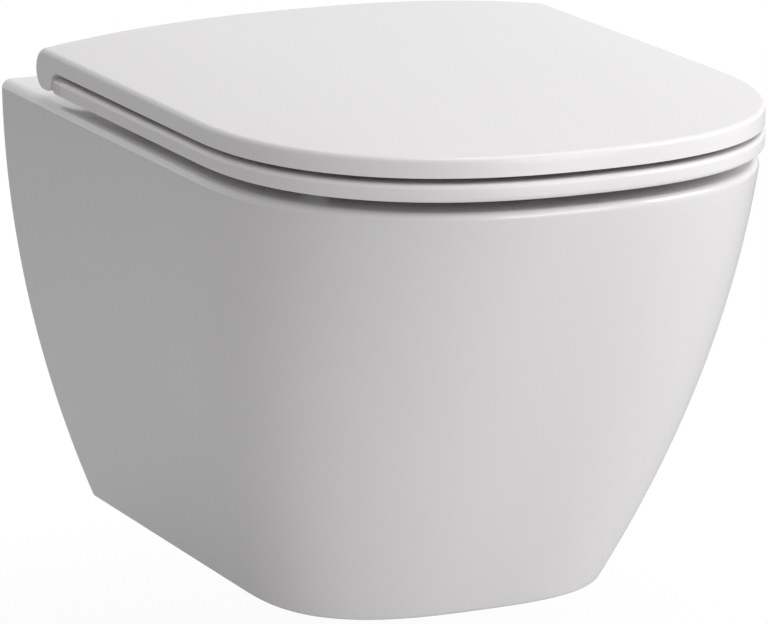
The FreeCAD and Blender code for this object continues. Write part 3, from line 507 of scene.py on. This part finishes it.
through_deck, through_base = np.array((0, 0, -DECK)), np.array((0, 0, WALL))
bolt_holes = [at_height(circle(BOLT_HOLE, side * HINGE_X, HINGE_Y), RIM) for side in (-1, 1)]
pan.plate([outside[0], mouth(LIP, RIM)[0], *bolt_holes], UP)
pan.plate([inside[0], mouth(BASIN_WALL, RIM - DECK)[0], *(h + through_deck for h in bolt_holes)], DOWN)
pierce(pan, bolt_holes, through_deck)
hand_holes = [hand_hole(side) for side in (-1, 1)]
raised_holes = [hole + through_base for hole in hand_holes]
pan.plate([outside[-1], *hand_holes], DOWN)
pan.plate([inside[-1], *raised_holes], UP)
pierce(pan, raised_holes, -through_base)
print("holes in the deck", len(bolt_holes), "and in the underside", len(hand_holes))

# %% [markdown]
# At the wall the hollow pan is closed by a web under the deck. The wall rods pass through it, and
# so does the socket for the flush pipe. Its back and the cut edge of the shroud are one plane, so
# that the pan sits flat on the wall. A box would do for the web, but its sides would have to be
# fitted to the curved shroud. So it is made from the shroud's own edge points instead.

# %% Web against the wall
WEB, WEB_LOW = 12.0, -32.0             # thickness, and height of its lower edge
ROD_X, ROD_HOLE = 90.0, 10.0
INLET_Z, INLET_HOLE = 35.0, 36.5
above_web, below_web = inner_depth <= RIM - WEB_LOW, inner_depth >= RIM - WEB_LOW


def wall_loop(edge, y):
    """Both side edges of a surface at the wall, joined to a closed loop in an upright plane."""
    loop = np.concatenate([edge[:, 0], edge[::-1, -1]])
    loop[:, 1] = y
    return loop


hollow, web_edge = inside[below_web].copy(), inside[above_web].copy()
hollow[0, :, 2] = web_edge[-1, :, 2] = WEB_LOW
holes = [circle(ROD_HOLE, side * ROD_X, 0.0) for side in (-1, 1)] + [circle(INLET_HOLE, 0.0, INLET_Z, 72)]
pan.plate([wall_loop(outside, 0), wall_loop(hollow, 0), *(at_y(h, 0) for h in holes)], TO_WALL)
pan.plate([wall_loop(web_edge, -WEB), *(at_y(h, -WEB) for h in holes)], FORWARD)
pierce(pan, [at_y(h, -WEB) for h in holes], np.array((0, WEB, 0)))
left, right = web_edge[-1, 0, 0], web_edge[-1, -1, 0]
lower_edge = np.array([(left, 0), (right, 0), (right, -WEB), (left, -WEB)])
pan.plate([at_height(lower_edge, WEB_LOW)], DOWN)
pan.build("pan_shroud", glaze, "root", "bowl")

# %% [markdown]
# ## The seat
# The seat is a solid ring of resin. It could be a plate with a hole and bevelled edges, but its
# edge is rounder than a bevel of two or three steps. A grid can wrap right round it instead: one
# way along the ring, the other way round its section. For that, each point of the outline needs
# a partner on the hole, and the point in the same direction from the middle is the right one.

# %% Cover outlines and their partners
COVER_RUN, COVER_POWER = RUN_TOP, POWER_TOP     # seat and lid follow the rim
BACK_STEPS = 61


def cover(inset, back):
    """The outline that seat and lid share, from one end of its back to the other."""
    return tongue(COVER_HALF, COVER_RUN, COVER_FRONT, COVER_POWER, inset, back)


def closed_cover(inset, back):
    """Cover outlines, each closed by a straight line along its back."""
    sides = cover(inset, back)
    sides[:, :, 1] = np.minimum(sides[:, :, 1], back)
    share = np.linspace(0, 1, BACK_STEPS)[1:-1, None]
    behind = sides[:, -1:] * (1 - share) + sides[:, :1] * share
    return np.concatenate([sides, behind], axis=1)


def hole_partner(outline, half, rear, front, power):
    """For each outline point, the point of an oval in the same direction from its middle: its
    distance is (|cos / half|^power + |sin / half length|^power) to the power -1 / power."""
    middle, half_length = -(rear + front) / 2, (front - rear) / 2
    turn = np.arctan2(outline[:, 1] - middle, outline[:, 0])
    shares = np.abs(np.cos(turn) / half) ** power + np.abs(np.sin(turn) / half_length) ** power
    distance = shares ** (-1 / power)
    return np.stack([distance * np.cos(turn), middle + distance * np.sin(turn)], axis=-1)


print("points round the cover:", closed_cover(0, 0).shape[1])

# %% Seat ring
SEAT_BACK, SEAT_ROUND = -97.0, 3.0
HOLE_HALF, HOLE_REAR, HOLE_FRONT, HOLE_POWER = 113.0, 183.0, 449.0, 2.35

near, over = round_turn(steps=5)
edge_in = np.append(SEAT_ROUND * (1 - near), SEAT_ROUND + FLAT)
edge_off = np.append(SEAT_ROUND * (1 - over), 0)[:, None]     # from the top or the underside
outer = np.concatenate([closed_cover(i, SEAT_BACK - i) for i in edge_in])
inner = np.stack([hole_partner(outer[0], HOLE_HALF + i, HOLE_REAR - i, HOLE_FRONT + i, HOLE_POWER)
                  for i in edge_in])
top_out, top_in = (at_height(plan, SEAT_TOP - edge_off) for plan in (outer, inner))
low_out, low_in = (at_height(plan, SEAT_LOW + edge_off) for plan in (outer, inner))
around = np.concatenate([top_out, top_in[::-1], low_in, low_out[::-1], top_out[:1]])

seat = Skin()
seat.grid(around, wrap=True)
print("rows round the section and columns along the ring:", around.shape[:2])

# %% [markdown]
# Four ears at its back take the pins and the dampers. Each is a round boss on the hinge axis that
# runs out into the ring. Its profile is drawn once and stands on both faces of each ear.

# %% Hinge ears
EAR_RADIUS, EAR_STEPS = 10.0, 25
EARS = [(35.6, 43.6), (90.4, 98.4)]    # both faces of the two ears on the right
ARM_REAR, ARM_FRONT = 21.5, 31.5       # hinge axis to where the arm enters the ring
ARM_INSET = 0.5                        # arm inside the faces of the seat


def ear_profile():
    """Half a circle behind the hinge axis, then the three points of the arm in the ring."""
    turn = np.linspace(np.pi / 2, -np.pi / 2, EAR_STEPS)
    bow = np.stack([HINGE_Y + EAR_RADIUS * np.cos(turn), HINGE_Z + EAR_RADIUS * np.sin(turn)], axis=-1)
    rear, front = HINGE_Y - ARM_REAR, HINGE_Y - ARM_FRONT
    low, high = SEAT_LOW + ARM_INSET, SEAT_TOP - ARM_INSET
    return np.vstack([bow, [(rear, low), (front, low), (front, high)]])


for x0, x1 in EARS + [(-b, -a) for a, b in EARS]:
    left_face, right_face = at_x(ear_profile(), x0), at_x(ear_profile(), x1)
    seat.grid(np.stack([left_face, right_face]), wrap=True, flip=True)
    seat.plate([left_face], LEFT)
    seat.plate([right_face], RIGHT)
seat.build("seat_moulding", resin, "seat", "seat_ring")

# %% [markdown]
# ## The lid
# The lid is a crowned plate with a thin rounded edge, and along its back a roll that hides the
# hinges. A subdivided cage could give the crown, but would blur the edge. Here the top is level
# along the edge and rises to the middle by the same superellipse that draws the outline, so height
# and outline belong together. Loops of the outline that shrink to one point cover it without a
# seam.

# %% Height of the lid
LID_EDGE_HEIGHT = 12.3
LID_EDGE = LID_LOW + LID_EDGE_HEIGHT
CROWN = LID_TOP - LID_EDGE


def lid_height(x, y):
    """Edge height plus crown * (1 - |x / half|^power - |(y past the straight part) / nose|^power)."""
    across = np.abs(x / COVER_HALF) ** COVER_POWER
    along = (np.maximum(0, -y - COVER_RUN) / (COVER_FRONT - COVER_RUN)) ** COVER_POWER
    return LID_EDGE + CROWN * (1 - across - along)


def on_lid(plan, drop):
    """Plan points at the height of the lid's top, less a drop."""
    return at_height(plan, lid_height(plan[..., 0], plan[..., 1]) - drop)


print("the lid rises", round(CROWN, 1), "over its edge")

# %% Top and underside
LID_WALL, LID_ROUND = 5.0, 2.5
LID_MIDDLE, JOINT_Y = np.array((0, -290.0)), -110.0     # where the loops end, and the roll's front
DOME_LOOPS, DOME_REACH, DOME_PACE = 34, 0.985, 1.1      # a fan closes what the reach leaves open


def dome(loop, drop):
    """Loops that shrink from the given one towards the middle of the lid, at the lid's height:
    the loop's share falls from 1 as an even step to the power of the pace."""
    share = (1 - np.linspace(0, DOME_REACH, DOME_LOOPS) ** DOME_PACE)[:, None, None]
    return on_lid(LID_MIDDLE + share * (loop - LID_MIDDLE), drop)


lid = Skin()
for drop, inset, flip in ((0.0, LID_ROUND, False), (LID_WALL, LID_WALL, True)):
    rows = dome(closed_cover(inset, JOINT_Y)[0], drop)
    lid.grid(rows, wrap=True, flip=flip)
    lid.fan(rows[-1], on_lid(LID_MIDDLE, drop), flip=flip)
print("loops and points of the underside:", rows.shape[:2])

# %% Edge of the lid
near, over = round_turn(steps=6)
edge = on_lid(cover(LID_ROUND * (1 - over), JOINT_Y), LID_ROUND * (1 - near)[:, None])
foot = edge[-1:].copy()
foot[..., 2] = LID_LOW
lip_plan = cover([0, LID_WALL], JOINT_Y)
inner = lip_plan[1:]
lid.grid(np.concatenate([edge, (2 * edge[-1:] + foot) / 3, foot]))
lid.grid(at_height(lip_plan, LID_LOW))
lid.grid(np.concatenate([at_height(inner, LID_LOW), on_lid(inner, LID_WALL)]))
print("rows and columns of the edge:", edge.shape[:2])

# %% [markdown]
# The roll follows one profile across the lid, and stands on the same crown. Over the two hinges
# it is cut out from below, so that the housings have room while the lid swings. A curve with a
# bevel could be swept, but here the top changes its height on the way. So each section is a row of
# points of its own, and the rows are cut at their corners into grids, which keeps those crisp.

# %% Sections of the roll
ROLL_ROUND, TOP_STEP = 12.0, -95.0     # radius, and one more place on the flat top before it
# front of the roll from its lowest place, back and up from the hinge axis
ROLL_LIP = [(-4.5, -12.4), (-7.8, -11.2), (-9.5, -8.5), (-13.5, -1.0)]
LIP_START = 20.0                       # hinge axis to where the lip meets the lid's lower edge
NOTCH_PLATE = 6.0                      # thickness that is left over the hinges
TURN_STEPS, NOTCH_STEPS = 10, 8
LIP_COLUMN = 2 + 2 * (TURN_STEPS + 1)  # two places on the top and two turns come before the lip
ROLL_CORNERS = [LIP_COLUMN + k for k in (0, 2, 4, 5)]
NOTCH_CORNER = 2 + NOTCH_STEPS - 1     # end of the turn, after two places on the top


def roll_profile(x, drop):
    """The full section at each x: over the top, which is lowered by the drop, a quarter turn down
    the back, a quarter turn under it, and up the lip in front to the lid's lower edge."""
    near, over = round_turn(TURN_STEPS)
    top = (lid_height(x, 0.0) - drop)[:, None]
    level = np.ones_like(top)
    lip = np.array(ROLL_LIP) + (HINGE_Y, HINGE_Z)
    front = np.vstack([lip, [(HINGE_Y - LIP_START, LID_LOW), (JOINT_Y, LID_LOW)]])
    y = np.concatenate([[JOINT_Y, TOP_STEP], ROLL_BACK - ROLL_ROUND * (1 - over),
                        ROLL_BACK - ROLL_ROUND * (1 - near), front[:, 0], [JOINT_Y]])
    z = np.concatenate([top * [1, 1], top - ROLL_ROUND * (1 - near),
                        level * (ROLL_LOW + ROLL_ROUND * (1 - over)),
                        level * front[:, 1], top - LID_WALL], axis=1)
    return np.stack([x[:, None] + 0 * z, y + 0 * z, z], axis=-1)


def notch_profile(x):
    """The section over a hinge: only the plate, which stops after a sixth of a full turn."""
    top = lid_height(x, 0.0)[:, None]
    turn = np.linspace(0, np.pi / 3, NOTCH_STEPS)
    bow_y = ROLL_BACK - ROLL_ROUND * (1 - np.sin(turn))
    bow_z = top - ROLL_ROUND * (1 - np.cos(turn))
    y = np.concatenate([[JOINT_Y, TOP_STEP], bow_y, [TOP_STEP, JOINT_Y]])
    z = np.concatenate([top * [1, 1], bow_z, top - [NOTCH_PLATE, NOTCH_PLATE]], axis=1)
    return np.stack([x[:, None] + 0 * z, y + 0 * z, z], axis=-1)


print("points of a section:", roll_profile(np.zeros(1), 0).shape[1])

# %% Roll along the back
NOTCH = (35.2, 98.8)                   # between these places the roll is only a plate
ROLL_STEPS, END_STEPS = 25, 24         # sections of a middle stretch, and of an end before its round


def smooth_parts(rows, *corners):
    """The columns of a section between its corners, each stretch as a grid of its own."""
    marks = [0, *corners, rows.shape[1] - 1]
    for first, last in zip(marks, marks[1:]):
        lid.grid(rows[:, first:last + 1], flip=True)


near, over = round_turn(steps=6)
end_x = np.append(np.linspace(NOTCH[1], COVER_HALF - LID_ROUND, END_STEPS),
                  COVER_HALF - LID_ROUND * (1 - over[1:]))
end_drop = np.append(np.zeros(END_STEPS), LID_ROUND * (1 - near[1:]))
middle_x = np.linspace(-NOTCH[0], NOTCH[0], ROLL_STEPS)
for x, drop in ((-end_x[::-1], end_drop[::-1]), (middle_x, 0 * middle_x), (end_x, end_drop)):
    rows = roll_profile(x, drop)
    smooth_parts(rows, *ROLL_CORNERS)
    lid.plate([rows[0]], LEFT)
    lid.plate([rows[-1]], RIGHT)
for side in (-1, 1):
    notch_x = np.sort(side * np.linspace(*NOTCH, ROLL_STEPS))
    smooth_parts(notch_profile(notch_x), NOTCH_CORNER)
print("the roll runs", 2 * COVER_HALF, "mm, less two notches of", round(NOTCH[1] - NOTCH[0], 1))

# %% [markdown]
# Under the lid two blocks stand over the pads that it rests on. They are short squarish columns,
# because the crown is high above the seat there and the pads are thin.

# %% Blocks over the pads
BLOCK_X, BLOCK_Y, BLOCK_POWER = 138.0, -392.0, 6.0
BLOCK_HALF = (10.0, 16.0)              # across and along
BLOCK_BITE = 1.0                       # how far a block reaches into the lid


def pad_block(x, y):
    """The walls of a block, from inside the lid down to its lower edge."""
    plan = oval(BLOCK_HALF[0], -y - BLOCK_HALF[1], -y + BLOCK_HALF[1], BLOCK_POWER, 48)[0] + (x, 0)
    return np.stack([on_lid(plan, LID_WALL - BLOCK_BITE), at_height(plan, LID_LOW)])


for side in (-1, 1):
    block = pad_block(side * BLOCK_X, BLOCK_Y)
    lid.grid(block, wrap=True)
    lid.plate([block[1]], DOWN)
lid.build("lid_cover", resin, "lid", "lid_shell")

# %% [markdown]
# ## Everything else
# The basin and the flush channel are seen through the mouth, and they are fired in one with the
# pan, so they take its glaze. The hinges and fixings hide under the lid and behind the pan. A plain
# grey would do while they are hidden, but the lid opens and the hinge lifts off, so each gets its
# real material: chromed, zinc plated and stainless steel, brass, black and grey rubber, nylon and
# acetal. One recipe for all metals and one for what is moulded are enough, because the rest is
# colour, gloss and grain.

# %% Metal, rubber and plastic
CLOUD, BLOOM = 0.012, 0.009            # metres across one blotch of gloss
TURNED = (1, 1, 6)                     # squeezes a metal's grain into turning marks
TURNED_DEPTH, MOULD_DEPTH = 0.00002, 0.00003      # metres
CLOUD_SHADE, BLOOM_SHADE = 0.86, 1.12  # tint of a blotch as a share of the colour


def metal(name, colour, roughness, grain):
    """A metal whose gloss drifts, with a fine grain of turning marks."""
    finish = Finish(name)
    cloud = finish.noise(CLOUD, 3)
    darker = tuple(CLOUD_SHADE * c for c in colour)
    return finish.principled(
        {"Base Color": finish.blend(cloud, darker, colour),
         "Roughness": roughness + 0.12 * cloud,
         "Normal": finish.bump(finish.noise(grain, 2, TURNED), TURNED_DEPTH)},
        {"Metallic": 1.0})


def moulded(name, colour, roughness, grain):
    """Rubber or plastic: an even colour with a slight bloom and the grain of its mould."""
    finish = Finish(name)
    bloom = finish.noise(BLOOM, 3)
    lighter = tuple(min(1.0, BLOOM_SHADE * c + 0.01) for c in colour)
    return finish.principled(
        {"Base Color": finish.blend(bloom, colour, lighter),
         "Roughness": roughness + 0.1 * bloom,
         "Normal": finish.bump(finish.noise(grain, 2), MOULD_DEPTH)},
        {"IOR": 1.5})


# %% Which part is made of what
def dress(material, *names):
    """Gives the construction model's nodes this one material."""
    for name in names:
        slots = frame["nodes"][name].data.materials
        slots.clear()
        slots.append(material)
    print(material.name, "on", ", ".join(names))


def pair(name):
    """The names of a left and a right part."""
    return name + "_left", name + "_right"


dress(glaze, "basin", "flush_channel")
dress(metal("polished_chrome", (0.86, 0.87, 0.88), 0.08, 0.004), *pair("hinge_base"))
dress(moulded("white_hinge_plastic", (0.76, 0.76, 0.77), 0.32, 0.0008), *pair("hinge_housing"))
dress(metal("stainless_steel", (0.72, 0.71, 0.69), 0.2, 0.0015),
      *pair("hinge_pin"), "seat_damper_shaft", "lid_damper_shaft")
dress(metal("zinc_plating", (0.68, 0.70, 0.72), 0.34, 0.002),
      *pair("hinge_bolt"), "fixing_nuts", "fixing_washers")
dress(moulded("black_rubber", (0.035, 0.035, 0.037), 0.62, 0.0008), *pair("clamp_bush"))
dress(moulded("grey_soft_pad", (0.55, 0.55, 0.56), 0.55, 0.0006),
      "seat_buffers", "lid_buffers", *pair("base_gasket"))
dress(metal("turned_brass", (0.78, 0.62, 0.34), 0.26, 0.0012), *pair("clamp_nut"))
dress(moulded("white_nylon", (0.74, 0.73, 0.70), 0.42, 0.001), "fixing_sleeves")
dress(moulded("grey_button_plastic", (0.42, 0.43, 0.45), 0.36, 0.0007), *pair("release_button"))
dress(moulded("dark_acetal", (0.09, 0.09, 0.10), 0.38, 0.0007), "seat_damper", "lid_damper")

# %% [markdown]
# ## Studio
# The photograph shows the pan on pure white. Without a floor a white room would light the underside
# as much as the lid, and a floor that is lit like any other would turn grey round the pan. This one
# lies where a bathroom's floor would be, shades the underside, and is nearly white to the camera.
# From below it is clear, so that the underside can be seen.

# %% Floor
FLOOR_Z, FLOOR_REACH = -0.34, 3.0      # metres
FADE = {"From Min": 0.15, "From Max": 0.5, "To Min": 0.86, "To Max": 1.0}   # metres, then shares
WHITE, FLOOR_GREY = (1, 1, 1, 1), (0.72, 0.72, 0.72, 1)


def pale_floor():
    """Diffuse grey for the light, and for the camera nearly white, wholly so past the fade."""
    finish = Finish("pale_floor")
    radius = finish.node("ShaderNodeVectorMath", {"operation": "LENGTH"}, {0: finish.place}, "Value")
    whiteness = finish.node("ShaderNodeMapRange", {}, {"Value": radius, **FADE})
    camera_ray = finish.node("ShaderNodeLightPath", {}, {}, "Is Camera Ray")
    lit = finish.node("ShaderNodeBsdfDiffuse", {}, {"Color": FLOOR_GREY})
    white = finish.node("ShaderNodeEmission", {}, {"Strength": 1.0})
    above = finish.node("ShaderNodeMixShader", {}, {0: camera_ray * whiteness, 1: lit, 2: white})
    below = finish.node("ShaderNodeBsdfTransparent", {}, {})
    under = finish.node("ShaderNodeNewGeometry", {}, {}, "Backfacing")
    return finish.close(finish.node("ShaderNodeMixShader", {}, {0: under, 1: above, 2: below}))


def make_floor():
    """A square far below the pan that faces up."""
    mesh = bpy.data.meshes.new("floor")
    corners = FLOOR_REACH * np.array([(-1, -1), (1, -1), (1, 1), (-1, 1)])
    mesh.from_pydata(at_height(corners, FLOOR_Z), [], [(0, 1, 2, 3)])
    mesh.materials.append(pale_floor())
    floor = bpy.data.objects.new("floor", mesh)
    bpy.context.scene.collection.objects.link(floor)


make_floor()

# %% [markdown]
# The front of the pan is light and its left side a calm grey, with no hard edge between them. One
# small lamp would draw such an edge. Large soft lamps at the right, in front and above don't, and
# the pale room fills the side that they leave.

# %% Lamps
LAMPS = {                              # place in metres, size in metres and power in watts
    "key_lamp": ((2.6, -1.9, 1.5), 1.6, 45),
    "front_lamp": ((0.7, -3.2, 0.0), 1.6, 27),
    "top_lamp": ((0.3, -0.9, 2.6), 1.8, 26),
}


def soft_lamp(name, place, size, power):
    """A square lamp of the given size and power that points at the pan."""
    lamp = bpy.data.lights.new(name, "AREA")
    lamp.size, lamp.energy = size, power
    holder = bpy.data.objects.new(name, lamp)
    holder.location = place
    holder.rotation_euler = (AIM - Vector(place)).to_track_quat("-Z", "Y").to_euler()
    bpy.context.scene.collection.objects.link(holder)
    print(name, "with", power, "watts")


for name, settings in LAMPS.items():
    soft_lamp(name, *settings)

# %% White room
ROOM_LIGHT = 0.36
SEEN_WHITE = ("Is Camera Ray", "Is Glossy Ray", "Is Transmission Ray")


def white_room():
    """White where the camera, a reflection or glass looks at it, and pale grey as light."""
    world = bpy.data.worlds.new("white_room")
    bpy.context.scene.world = world
    room = Wiring(world)
    camera, glossy, glass = (room.node("ShaderNodeLightPath", {}, {}, kind) for kind in SEEN_WHITE)
    seen = room.maths("MAXIMUM", room.maths("MAXIMUM", camera, glossy), glass)
    light = room.node("ShaderNodeBackground", {}, {"Color": WHITE, "Strength": ROOM_LIGHT})
    white = room.node("ShaderNodeBackground", {}, {"Color": WHITE, "Strength": 1.0})
    both = room.node("ShaderNodeMixShader", {}, {0: seen, 1: light, 2: white})
    room.close(both, "ShaderNodeOutputWorld")


white_room()
bpy.context.scene.view_settings.view_transform = "Standard"
